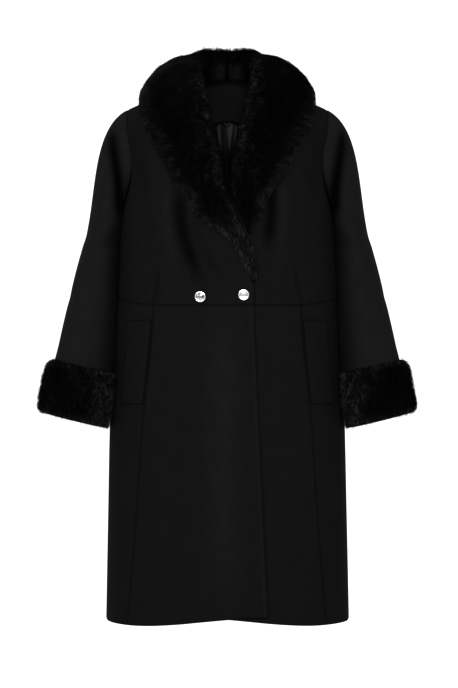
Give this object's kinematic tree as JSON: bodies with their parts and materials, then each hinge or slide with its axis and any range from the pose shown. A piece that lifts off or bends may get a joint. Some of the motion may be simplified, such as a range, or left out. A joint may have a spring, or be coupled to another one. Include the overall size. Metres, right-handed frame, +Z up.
{
  "type": "long coat",
  "caption": "Long wool coat with a wide fur shawl collar, turned-back fur cuffs, slanted pocket welts and metal buttons, filled out and hollow.",
  "frame": {"origin": "middle of the neck, level with the two points where the shoulder seams meet the neckline, where a wearer's shoulders carry the coat", "axes": "+X towards the wearer's left, -Y towards the front of the coat, +Z up"},
  "size_m": [0.7808, 0.342, 1.1925],
  "materials": {
    "wool": "black napped wool coating, matt with a soft sheen",
    "fur": "dense black fur pile about 20 mm deep, with soft paler tips",
    "satin": "black satin lining, smooth with a silky gloss",
    "metal": "polished silver-coloured metal"
  },
  "bodies": {
    "root": {"bodice_front_right": "wool", "bodice_front_left": "wool", "bodice_back": "wool", "skirt_front_right": "wool", "skirt_front_left": "wool", "skirt_side_right": "wool", "skirt_side_left": "wool", "skirt_back": "wool", "pocket_welt_right": "wool", "pocket_welt_left": "wool", "sleeve_right": "wool", "sleeve_left": "wool", "fur_cuff_right": "fur", "fur_cuff_left": "fur", "fur_collar_right": "fur", "fur_collar_left": "fur", "back_neck_facing": "wool", "back_lining": "satin", "button_right": "metal", "button_left": "metal"}
  },
  "joints": []
}
